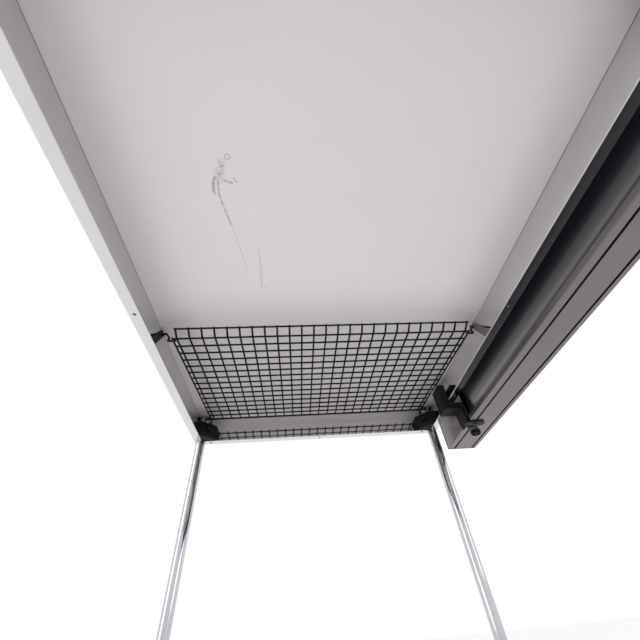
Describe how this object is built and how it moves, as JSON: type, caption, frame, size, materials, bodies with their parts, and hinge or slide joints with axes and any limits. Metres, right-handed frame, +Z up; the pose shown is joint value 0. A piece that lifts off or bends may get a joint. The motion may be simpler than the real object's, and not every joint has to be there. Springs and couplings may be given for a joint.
{
  "type": "network rack cabinet",
  "caption": "Low open-frame network rack cabinet: folded steel roof and base on chromed tube posts, 19 inch uprights, mesh cable tray and side cable duct.",
  "frame": {"origin": "centre of the whole object's footprint, on the floor under the levelling feet", "axes": "+Z up, +Y towards the rear, where the mesh tray hangs, +X to the right, where the duct runs"},
  "size_m": [0.8075, 1.039, 0.734],
  "materials": {
    "panel_enamel": "fine-textured warm light grey powder coat",
    "rail_steel": "polished stainless sheet, satin on the side rails",
    "black_nylon": "moulded glass-filled nylon, faint texture",
    "post_chrome": "polished chromed tube",
    "foot_rubber": "moulded rubber, matt",
    "zinc_steel": "bright zinc-plated steel",
    "upright_zinc": "zinc-plated sheet steel",
    "black_wire": "black powder-coated steel wire",
    "duct_anodised": "dark bronze-grey anodised, satin",
    "gloss_black": "piano-black extruded plastic",
    "black_steel": "black powder-coated folded steel",
    "screw_steel": "black-oxide screws"
  },
  "bodies": {
    "frame": {"base_block_front_left": "black_nylon", "base_block_front_right": "black_nylon", "base_block_rear_left": "black_nylon", "base_block_rear_right": "black_nylon", "base_panel": "panel_enamel", "base_rail_front": "rail_steel", "base_rail_left": "rail_steel", "base_rail_rear": "rail_steel", "base_rail_right": "rail_steel", "bracket_screw_front": "screw_steel", "bracket_screw_rear": "screw_steel", "clamp_screws": "screw_steel", "duct_body": "duct_anodised", "duct_bracket_front": "black_steel", "duct_bracket_rear": "black_steel", "duct_cover": "gloss_black", "duct_end_cap_front": "black_nylon", "duct_end_cap_rear": "black_nylon", "duct_end_plate_front": "duct_anodised", "duct_end_plate_rear": "duct_anodised", "duct_thumb_screw": "black_nylon", "foot_insert_front_left": "black_nylon", "foot_insert_front_right": "black_nylon", "foot_insert_rear_left": "black_nylon", "foot_insert_rear_right": "black_nylon", "groove_stop": "black_nylon", "post_front_left": "post_chrome", "post_front_right": "post_chrome", "post_rear_left": "post_chrome", "post_rear_right": "post_chrome", "roof_block_front_left": "black_nylon", "roof_block_front_right": "black_nylon", "roof_block_rear_left": "black_nylon", "roof_block_rear_right": "black_nylon", "roof_panel": "panel_enamel", "roof_rail_front": "rail_steel", "roof_rail_left": "rail_steel", "roof_rail_rear": "rail_steel", "roof_rail_right": "rail_steel", "slot_nut_front": "screw_steel", "slot_nut_rear": "screw_steel", "tray_hanger_left": "black_wire", "tray_hanger_right": "black_wire", "tray_loop_left": "black_wire", "tray_loop_right": "black_wire", "upright_left": "upright_zinc", "upright_nuts": "screw_steel", "upright_right": "upright_zinc", "upright_screws": "screw_steel", "web_screws": "screw_steel"},
    "tray": {"mesh_tray": "black_wire"},
    "foot_rear_left": {"foot_pad_rear_left": "foot_rubber"},
    "stud_rear_left": {"foot_stud_rear_left": "zinc_steel"},
    "foot_rear_right": {"foot_pad_rear_right": "foot_rubber"},
    "stud_rear_right": {"foot_stud_rear_right": "zinc_steel"},
    "foot_front_left": {"foot_pad_front_left": "foot_rubber"},
    "stud_front_left": {"foot_stud_front_left": "zinc_steel"},
    "foot_front_right": {"foot_pad_front_right": "foot_rubber"},
    "stud_front_right": {"foot_stud_front_right": "zinc_steel"}
  },
  "joints": [
    {"name": "tray_lift", "type": "hinge", "parent": "frame", "child": "tray", "pos_m": [-0.0515, 0.46705, 0.70962], "axis": [-1, 0, 0], "range_deg": [0, 4]},
    {"name": "foot_height_rear_left", "type": "slide", "parent": "frame", "child": "foot_rear_left", "axis": [0, 0, 1], "range_m": [0, 0.006]},
    {"name": "stud_turn_rear_left", "type": "hinge", "parent": "foot_rear_left", "child": "stud_rear_left", "pos_m": [-0.386, 0.4995, 0], "axis": [0, 0, 1], "range_deg": [0, 1441]},
    {"name": "foot_height_rear_right", "type": "slide", "parent": "frame", "child": "foot_rear_right", "axis": [0, 0, 1], "range_m": [0, 0.006]},
    {"name": "stud_turn_rear_right", "type": "hinge", "parent": "foot_rear_right", "child": "stud_rear_right", "pos_m": [0.283, 0.4995, 0], "axis": [0, 0, 1], "range_deg": [0, 1441]},
    {"name": "foot_height_front_left", "type": "slide", "parent": "frame", "child": "foot_front_left", "axis": [0, 0, 1], "range_m": [0, 0.006]},
    {"name": "stud_turn_front_left", "type": "hinge", "parent": "foot_front_left", "child": "stud_front_left", "pos_m": [-0.386, -0.4995, 0], "axis": [0, 0, 1], "range_deg": [0, 1441]},
    {"name": "foot_height_front_right", "type": "slide", "parent": "frame", "child": "foot_front_right", "axis": [0, 0, 1], "range_m": [0, 0.006]},
    {"name": "stud_turn_front_right", "type": "hinge", "parent": "foot_front_right", "child": "stud_front_right", "pos_m": [0.283, -0.4995, 0], "axis": [0, 0, 1], "range_deg": [0, 1441]}
  ],
  "couplings": [
    {"joint": "stud_turn_rear_left", "follows": "foot_height_rear_left", "rad_per_m": 4188.8},
    {"joint": "stud_turn_rear_right", "follows": "foot_height_rear_right", "rad_per_m": 4188.8},
    {"joint": "stud_turn_front_left", "follows": "foot_height_front_left", "rad_per_m": 4188.8},
    {"joint": "stud_turn_front_right", "follows": "foot_height_front_right", "rad_per_m": 4188.8}
  ]
}
